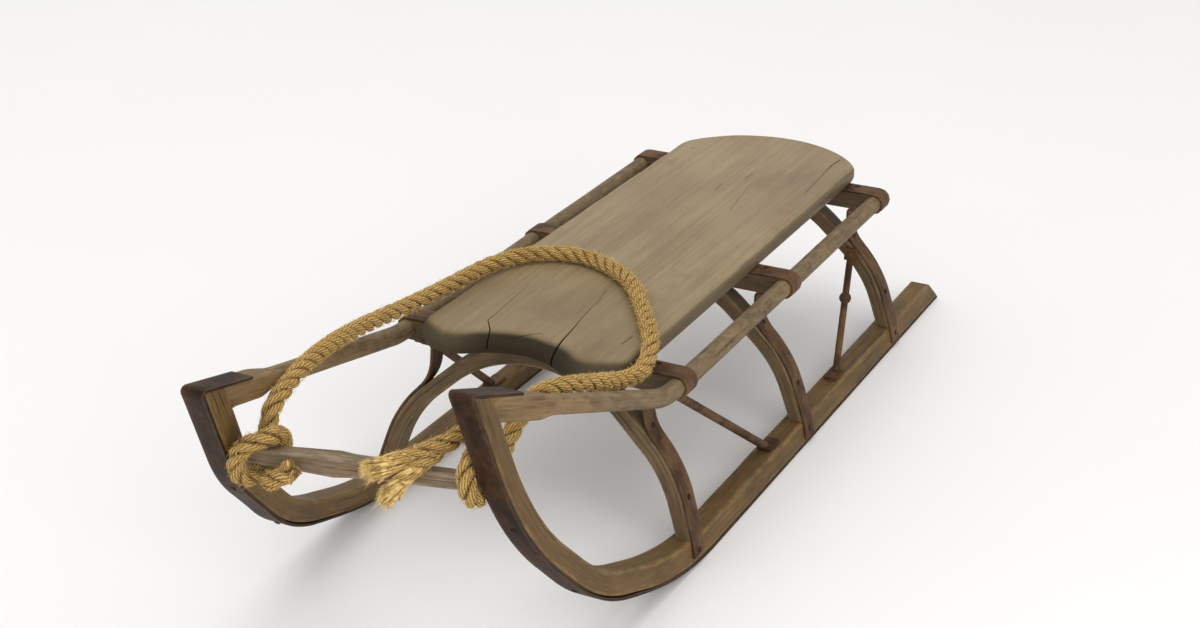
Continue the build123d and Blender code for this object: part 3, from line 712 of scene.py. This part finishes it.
def arc(start, through, end, gap):
    """Places on the circle through three places, from start to end."""
    ax, ay, bx, by, cx, cy = *start, *through, *end
    d = 2 * (ax * (by - cy) + bx * (cy - ay) + cx * (ay - by))
    sa, sb, sc = ax * ax + ay * ay, bx * bx + by * by, cx * cx + cy * cy
    middle_x = sa * (by - cy) + sb * (cy - ay) + sc * (ay - by)
    middle_y = sa * (cx - bx) + sb * (ax - cx) + sc * (bx - ax)
    middle = Vector((middle_x, middle_y)) / d
    spoke = Vector(start) - middle
    first = atan2(spoke.y, spoke.x)
    others = [Vector(place) - middle for place in (through, end)]
    passed, sweep = [(atan2(other.y, other.x) - first) % tau for other in others]
    if passed > sweep:
        sweep -= tau
    steps = max(4, ceil(abs(sweep) * spoke.length / gap))
    angles = [first + sweep * step / steps for step in range(steps)]
    return [middle + Vector((cos(angle), sin(angle))) * spoke.length for angle in angles]


def straight(start, end, steps):
    """Places from start to just before end."""
    return [Vector(start).lerp(Vector(end), step / steps) for step in range(steps)]


# Seat board: rings that follow its outline, rounded at the sides and rolled over further at the front
seat_left, seat_right, seat_right_rear, lobe_r = 115.5, -112.0, -106.0, 40.0
lobe_y, hollow_y = -220.0 + lobe_r, -194.0
lobe_left, lobe_right = seat_left - lobe_r, seat_right + lobe_r
half_span, hollow_x, drop = (lobe_left - lobe_right) / 2, (lobe_left + lobe_right) / 2, lobe_y - hollow_y
hollow_r = (half_span**2 + drop**2 - lobe_r**2) / (2 * (lobe_r - drop))
reach = hypot(half_span, lobe_y - hollow_y + hollow_r)
kiss_dx = lobe_r * half_span / reach
kiss_y = lobe_y - lobe_r * (lobe_y - hollow_y + hollow_r) / reach
half_way = atan2(kiss_y - lobe_y, -kiss_dx) / 2
low_dx, low_y = lobe_r * cos(half_way), lobe_y + lobe_r * sin(half_way)
rear_left, rear_right = (seat_left, 408.0), (seat_right_rear, 398.0)
kiss_left, kiss_right = (lobe_left - kiss_dx, kiss_y), (lobe_right + kiss_dx, kiss_y)
outline = straight((seat_left, lobe_y), rear_left, 190)
outline += arc(rear_left, (hollow_x, 465.0), rear_right, 3.0)
outline += straight(rear_right, (seat_right, lobe_y), 190)
outline += arc((seat_right, lobe_y), (lobe_right - low_dx, low_y), kiss_right, 3.0)
outline += arc(kiss_right, (hollow_x, hollow_y), kiss_left, 3.0)
outline += arc(kiss_left, (lobe_left + low_dx, low_y), (seat_left, lobe_y), 3.0)
count = len(outline)
for _ in range(14):
    before = [place.copy() for place in outline]
    for k, place in enumerate(before):
        if min((place - Vector(rear_left)).length, (place - Vector(rear_right)).length) < 22.0:
            outline[k] = (before[k - 1] + before[(k + 1) % count] + place * 2) / 4
seat_top, seat_low, low_roll = 210.5, 190.5, 5.0
upper_rings = [(share, False) for share in (1.0, 0.8, 0.6, 0.42, 0.26, 0.13, 0.04, 0.0)]
lower_rings = [(share, True) for share in (0.0, 0.3, 1.0)]
rings = []
for share, below in upper_rings + lower_rings:
    ring = []
    for k, place in enumerate(outline):
        run = outline[(k + 1) % count] - outline[k - 1]
        inward = Vector((-run.y, run.x)).normalized()
        front = eased((inward.y - 0.15) / 0.7) if place.y < 0 else 0.0
        ragged = 1 + 0.16 * noise.noise(Vector((place.x * 0.03, place.y * 0.03, 2.0)))
        if below:
            at = place + inward * low_roll * share
            z = seat_low + low_roll * (1 - sqrt(1 - (1 - share) ** 2))
        else:
            roll, fall = (9.0 + 15.0 * front) * ragged, (8.0 + 3.5 * front) * ragged
            at = place + inward * roll * share
            z = seat_top - fall * (1 - (1 - (1 - share) ** (2.0 - 0.35 * front)) ** 0.62)
        ring.append(Vector((at.x, at.y, z)) * MM)
    rings.append(ring)
verts = [place for ring in rings for place in ring]
faces = [tuple(range(count)), tuple(range((len(rings) - 1) * count, len(rings) * count))[::-1]]
faces += ring_faces(0, len(rings), count)

# Drying cracks: widths from the start to the end of each, depth, places along it
crack_table = [
    (0.5, 1.5, 14.0, [(-57.6, -74.0), (-52.5, -135.0), (-50.4, -170.0), (-38.0, -187.0), (-30.0, -212.0)]),
    (0.4, 2.8, 18.0, [(24.0, -80.0), (29.6, -124.0), (34.5, -158.0), (37.3, -182.0), (39.0, -228.0)]),
    (1.8, 0.4, 8.0, [(92.2, 415.0), (90.0, 394.0), (91.1, 372.0), (94.2, 333.0)]),
]
board = add_object("board", outward_mesh("board", verts, faces))
cutters = []
for wide, narrow, depth, places in crack_table:
    flat = [Vector(place) for place in places]
    one, two = beside(flat, 0.5), beside(flat, -0.5)
    widths = [wide + (narrow - wide) * k / (len(flat) - 1) for k in range(len(flat))]
    loop = [at.lerp(out, width) for at, out, width in zip(flat, one, widths)]
    loop += [at.lerp(out, width) for at, out, width in zip(flat, two, widths)][::-1]
    low, high = ([Vector((*at, z)) * MM for at in loop] for z in (seat_top - depth, seat_top + 2.0))
    n = len(loop)
    walls = [(k, (k + 1) % n, n + (k + 1) % n, n + k) for k in range(n)]
    walls += [tuple(range(n))[::-1], tuple(range(n, 2 * n))]
    cutter = add_object("crack", outward_mesh("crack", low + high, walls))
    cut = board.modifiers.new("crack", "BOOLEAN")
    cut.operation = "DIFFERENCE"
    cut.solver = "EXACT"
    cut.object = cutter
    cutters.append(cutter)
board_mesh = bpy.data.meshes.new_from_object(board.evaluated_get(bpy.context.evaluated_depsgraph_get()))
verts = [v.co.copy() for v in board_mesh.vertices]
faces = [tuple(face.vertices) for face in board_mesh.polygons]
for helper in (board, *cutters):
    bpy.data.objects.remove(helper)
grain = [(co.y, co.x, co.z) for co in verts]
piece("seat_board", verts, faces, seat_wood, {"grain": grain}, ["seat"])

# Nail heads: low domes, all in one mesh
verts, faces = [], []
dome = ((1.0, -0.1), (0.98, 0.12), (0.8, 0.26), (0.45, 0.34))
for spot, normal, size in nails:
    side_dir = normal.orthogonal().normalized()
    other_dir = normal.cross(side_dir)
    base = len(verts)
    for radius, height in dome:
        for k in range(12):
            out = swing(side_dir, other_dir, tau * k / 12)
            verts.append(spot + (out * radius + normal * height) * size * MM)
    faces += ring_faces(base, len(dome), 12)
    faces.append([base + 36 + k for k in range(12)])
    faces.append([base + k for k in range(12)][::-1])
points = {"grain": [tuple(place) for place in verts], "edge": [0.0] * len(verts)}
piece("nail_heads", verts, faces, shoe_iron, points)

# Pull rope: one line from the cut end at the right, round the bar and over the seat
# to the left knot and its tail
rope_route = [
    (-51.5, -499.0, 203.0), (-61.5, -500.0, 197.0), (-71.0, -500.0, 190.0), (-79.0, -495.3, 184.1),
    (-82.0, -487.5, 183.5), (-84.5, -481.0, 183.0), (-85.5, -468.0, 188.0), (-85.5, -462.5, 201.0),
    (-83.5, -467.0, 215.5), (-80.5, -482.0, 223.0), (-90.0, -495.0, 221.5), (-101.5, -502.0, 213.5),
    (-108.0, -503.5, 201.0), (-108.5, -501.0, 187.0), (-104.0, -492.0, 179.0), (-102.5, -478.0, 181.5),
    (-102.0, -466.5, 191.5), (-102.1, -466.0, 207.4), (-103.0, -460.0, 217.0), (-104.5, -450.0, 233.0),
    (-110.0, -398.0, 245.0), (-121.0, -336.0, 240.0), (-132.0, -267.0, 227.5), (-131.0, -204.0, 219.0),
    (-122.0, -141.0, 217.5), (-108.0, -55.0, 219.3), (-78.0, -12.0, 219.3), (-28.0, 1.0, 219.3),
    (36.0, -32.0, 219.3), (72.0, -80.0, 219.3), (106.0, -132.0, 219.6), (124.0, -162.0, 217.5),
    (130.5, -188.0, 206.0), (129.5, -220.0, 207.5), (126.0, -276.0, 229.0), (118.5, -318.0, 243.5),
    (108.0, -354.0, 250.5), (104.0, -380.0, 237.5), (104.5, -406.0, 222.0), (106.0, -424.0, 212.5),
    (106.9, -434.8, 206.8), (107.8, -446.0, 200.0), (108.9, -459.5, 198.2), (109.6, -471.5, 203.0),
    (108.2, -476.5, 215.0), (104.8, -473.0, 227.5), (103.7, -460.5, 235.5), (102.9, -446.5, 240.0),
    (101.5, -433.5, 243.0), (90.0, -425.0, 243.0), (78.5, -432.5, 239.8), (76.55, -442.6, 238.6),
    (75.5, -448.0, 238.0), (65.5, -461.0, 235.0), (49.0, -469.0, 227.0), (34.0, -480.0, 222.5),
    (18.0, -486.0, 217.0),
]  # fmt: skip
lower_route = [
    (72.0, -455.0, 231.5), (67.0, -467.0, 229.5), (60.0, -477.0, 222.5),
    (50.0, -481.0, 213.0), (37.5, -482.0, 201.0), (28.5, -481.0, 190.0),
]  # fmt: skip


def spline_points(route):
    """Points read from the smooth spline that has the route's places as its control points."""
    curve = bpy.data.curves.new("route", "CURVE")
    curve.dimensions = "3D"
    spline = curve.splines.new("NURBS")
    spline.points.add(len(route) - 1)
    for point, place in zip(spline.points, route):
        point.co = (*[c * MM for c in place], 1)
    spline.order_u = 3
    spline.use_endpoint_u = True
    spline.resolution_u = 16
    holder = bpy.data.objects.new("route", curve)
    mesh = bpy.data.meshes.new_from_object(holder)
    places = [v.co.copy() for v in mesh.vertices]
    bpy.data.objects.remove(holder)
    bpy.data.curves.remove(curve)
    bpy.data.meshes.remove(mesh)
    return places


def evenly(places, gap):
    """Points a steady gap apart along a dense line, with the distance to each."""
    result, travelled, wanted = [], 0.0, 0.0
    for a, b in zip(places[:-1], places[1:]):
        length = (b - a).length
        while length > 0 and wanted <= travelled + length:
            result.append(a.lerp(b, (wanted - travelled) / length))
            wanted += gap
        travelled += length
    return result, travelled


def frames_along(path):
    """Direction and two cross directions at each point, carried along without twist."""
    result = []
    side = None
    for index in range(len(path)):
        ahead = heading(path, index)
        side = ahead.orthogonal() if side is None else side - ahead * side.dot(ahead)
        side.normalize()
        result.append((ahead, side.copy(), ahead.cross(side)))
    return result


def laid_rope(path, frames, strands, size, pitch, spread):
    """Vertices, faces and surface coordinates of twisted strands, and where each strand ends.

    spread(i) gives how far out the strands lie at point i, and their radius, as shares of size."""
    sides = 10
    verts, faces, lay, ends = [], [], [], []
    for strand in range(strands):
        centres, outs = [], []
        for index, (middle, (ahead, one, two)) in enumerate(zip(path, frames)):
            angle = tau * (index * rope_gap / pitch + strand / strands)
            outs.append(swing(one, two, angle))
            centres.append(middle + outs[-1] * size * spread(index)[0])
        for index, (centre, out) in enumerate(zip(centres, outs)):
            run = heading(centres, index)
            out = (out - run * out.dot(run)).normalized()
            over = run.cross(out)
            radius = size * spread(index)[1]
            for k in range(sides + 1):
                angle = tau * k / sides
                lump = 1 + 0.1 * noise.noise(centre * 160 + out * cos(angle) * 0.4)
                verts.append(centre + swing(out, over, angle) * radius * lump)
                lay.append((index * rope_gap, k / sides + strand * 0.37, 0.5 + 0.5 * cos(angle)))
        base = len(verts) - len(path) * (sides + 1)
        for ring in range(len(path) - 1):
            for k in range(sides):
                a = base + ring * (sides + 1) + k
                faces.append((a, a + 1, a + sides + 2, a + sides + 1))
        for ring, step in ((0, 1), (len(path) - 1, -1)):
            start = base + ring * (sides + 1)
            middle = len(verts)
            centre = centres[ring]
            run = (centre - centres[ring + step]).normalized()
            verts.append(centre + run * size * spread(ring)[1] * 0.6)
            lay.append((ring * rope_gap, 0.5, 1.0))
            for k in range(sides):
                faces.append((start + k, start + k + 1, middle))
            ends.append((centre, run, size * spread(ring)[1]))
    return verts, faces, lay, ends


rope_gap = 2.5 * MM
rope_path, rope_length = evenly(spline_points(rope_route), rope_gap)
rope_line = (rope_path, frames_along(rope_path))
last = len(rope_path) - 1


def rope_spread(index):
    """Strands part at the cut end and thin out in the left tail."""
    from_start, from_end = index * rope_gap, (last - index) * rope_gap
    opening = max(0.0, 1 - from_start / 0.015)
    thin = max(0.0, 1 - from_end / 0.07)
    tip = max(0.0, 1 - from_end / 0.03)
    offset = 0.505 + 0.2 * opening * opening - 0.06 * thin
    radius = 0.5 + 0.12 * opening - 0.06 * thin - 0.26 * tip
    return offset, radius


rope_size = 8.6 * MM
verts, faces, lay, rope_ends = laid_rope(*rope_line, 3, rope_size, 47 * MM, rope_spread)
rope = piece("pull_rope", verts, faces, rope_fibre, {"lay": lay}, sharp=180.0)
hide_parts("rope", "rope_knot_left", "rope_knot_right", "rope_tail_left_upper", "rope_tail_right")

lower_path = evenly(spline_points(lower_route), rope_gap)[0]
lower_line = (lower_path, frames_along(lower_path))


def lower_spread(index):
    """Two strands that thin out towards the tip."""
    return 0.6, 0.62 - 0.4 * (index / len(lower_path)) ** 2


verts, faces, lay, lower_ends = laid_rope(*lower_line, 2, 6.0 * MM, 38 * MM, lower_spread)
lower = piece("rope_lower_bundle", verts, faces, rope_fibre, {"lay": lay}, sharp=180.0)
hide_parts("rope_tail_left_lower")


def hair(verts, faces, root, direction, length, width, droop, curl, steps=3):
    """One thin tapering fibre."""
    base = len(verts)
    side = direction.orthogonal().normalized()
    bend = Vector((dice.uniform(-1, 1), dice.uniform(-1, 1), dice.uniform(-1, 1))) * curl
    at = root.copy()
    run = direction.copy()
    for step in range(steps + 1):
        other = run.cross(side).normalized()
        thick = width * (1 - 0.75 * step / steps)
        for k in range(3):
            verts.append(at + swing(side, other, tau * k / 3) * thick)
        run = (run + bend / steps + Vector((0, 0, -droop / steps))).normalized()
        at = at + run * length / steps
    faces += ring_faces(base, steps + 1, 3)


verts, faces = [], []
for path, frames, size, count in ((*rope_line, rope_size, 13200), (*lower_line, 6.5 * MM, 800)):
    for _ in range(count):
        index = dice.randrange(len(path))
        ahead, one, two = frames[index]
        out = swing(one, two, dice.uniform(0, tau))
        root = path[index] + ahead * dice.uniform(-1.2, 1.2) * MM + out * size * dice.uniform(0.84, 0.95)
        way = out * dice.uniform(0.02, 0.62) + ahead * dice.choice((-1, 1))
        way += ahead.cross(out) * dice.uniform(-0.5, 0.5)
        length, width = dice.uniform(2.0, 6.5) * MM, dice.uniform(0.1, 0.19) * MM
        hair(verts, faces, root, way.normalized(), length, width, 0.1, 0.8, 2)
fuzz = piece("rope_fuzz", verts, faces, loose_fibre)


def yarn_fan(path, frames, start, count, inner, outer, verts, faces, lay):
    """Loose yarns that follow the end of a tail and spread out."""
    sides = 5
    for number in range(count):
        angle, share = dice.uniform(0, tau), sqrt(dice.random())
        stop = len(path) - dice.randrange(2, 6)
        sway = dice.uniform(0, tau)
        centres = []
        for index in range(start, stop):
            part = (index - start) / (len(path) - 1 - start)
            ahead, one, two = frames[index]
            out = swing(one, two, angle + 1.3 * part)
            wide = inner + (outer - inner) * part**1.6
            wave = 0.7 * MM * sin(sway + part * 7)
            sag = Vector((0, 0, -5.0 * MM * part * part))
            further = ahead * 3.0 * MM * part * (1 - share)
            centres.append(path[index] + out * (wide * share + wave) + further + sag)
        yarn_r = dice.uniform(0.8, 1.3) * MM
        base = len(verts)
        for index, centre in enumerate(centres):
            run = heading(centres, index)
            side = run.orthogonal().normalized()
            other = run.cross(side)
            thick = yarn_r * (1 - 0.5 * (index / len(centres)) ** 3)
            for k in range(sides):
                verts.append(centre + swing(side, other, tau * k / sides) * thick)
                lay.append((index * rope_gap + number, k / sides, 1.0))
        faces += ring_faces(base, len(centres), sides)
        for ring in (0, len(centres) - 1):
            faces.append([base + ring * sides + k for k in range(sides)])


verts, faces, lay = [], [], []
yarn_fan(*rope_line, last - 18, 60, 5.4 * MM, 12.5 * MM, verts, faces, lay)
yarn_fan(*lower_line, len(lower_path) - 20, 56, 4.5 * MM, 12.0 * MM, verts, faces, lay)
yarns = piece("rope_loose_yarns", verts, faces, loose_fibre, {"lay": lay}, sharp=180.0)


def ends_near(ends, place):
    """The strand ends within 20 mm of a place."""
    return [end for end in ends if (end[0] - place).length < 0.02]


def random_spot(one, two):
    """A random direction between two cross directions, and a distance from the middle of a disk."""
    angle, share = dice.uniform(0, tau), sqrt(dice.random())
    return swing(one, two, angle), share


# Frayed fibres: ends of strands with how many each has, their length and flare, then the two tails
verts, faces = [], []
end_table = [
    (ends_near(rope_ends, rope_path[-1]), 170, 11.0, 0.9),
    (ends_near(lower_ends, lower_path[-1]), 220, 10.0, 0.9),
    (ends_near(rope_ends, rope_path[0]), 330, 3.0, 1.2),
]
for group, count, reach, flare in end_table:
    for centre, run, radius in group:
        one = run.orthogonal().normalized()
        two = run.cross(one)
        for _ in range(count):
            out, share = random_spot(one, two)
            root = centre + out * radius * share * 0.95 - run * 1.5 * MM
            way = (run + out * flare * share * dice.uniform(0.3, 1.2)).normalized()
            length = reach * dice.uniform(0.45, 1.0) * MM
            hair(verts, faces, root, way, length, dice.uniform(0.16, 0.34) * MM, 0.25, 0.45)
for path, frames, count, wide in ((*rope_line, 520, 9.5), (*lower_line, 460, 8.5)):
    for _ in range(count):
        index = len(path) - 2 - dice.randrange(14)
        part = 1 - (len(path) - 1 - index) / 18
        ahead, one, two = frames[index]
        out, share = random_spot(one, two)
        root = path[index] + out * wide * MM * share * part + Vector((0, 0, -4.0 * MM * part * part))
        way = (ahead + out * 0.35 * share * dice.uniform(0.4, 1.3)).normalized()
        hair(verts, faces, root, way, dice.uniform(6.0, 14.0) * MM, dice.uniform(0.2, 0.36) * MM, 0.3, 0.5)
frayed = piece("rope_frayed_ends", verts, faces, loose_fibre)

# Pale floor, pale room and soft light
floor_mesh = bpy.data.meshes.new("floor")
floor_mesh.from_pydata([(-30, -30, 0), (30, -30, 0), (30, 30, 0), (-30, 30, 0)], [], [(0, 1, 2, 3)])
floor = add_object("floor", floor_mesh)
floor_paint = Paint("floor")
floor_tone = floor_paint.noise(floor_paint.place(), (3, 3, 3), 3.0)
floor_colour = floor_paint.mix(floor_tone, (0.84, 0.83, 0.822), (0.865, 0.855, 0.847))
floor_bump = floor_paint.bump(floor_tone, 0.0001)
floor_mesh.materials.append(floor_paint.finish(floor_colour, 0.75, floor_bump, specular=0.15))

world = bpy.data.worlds.new("studio")
bpy.context.scene.world = world
world.use_nodes = True
world.node_tree.nodes["Background"].inputs["Color"].default_value = (0.93, 0.93, 0.93, 1)
world.node_tree.nodes["Background"].inputs["Strength"].default_value = 0.85

for name, place, aim, size, power in (
    ("key", (-1.0, -0.7, 6.0), (0, -0.1, 0.1), 6.0, 120.0),
    ("fill", (3.2, -3.0, 2.6), (0, 0, 0.1), 3.2, 74.0),
):
    lamp_data = bpy.data.lights.new(name, "AREA")
    lamp_data.shape = "DISK"
    lamp_data.size = size
    lamp_data.energy = power
    lamp = add_object(name, lamp_data)
    lamp.location = place
    lamp.rotation_euler = (Vector(place) - Vector(aim)).to_track_quat("Z", "Y").to_euler()
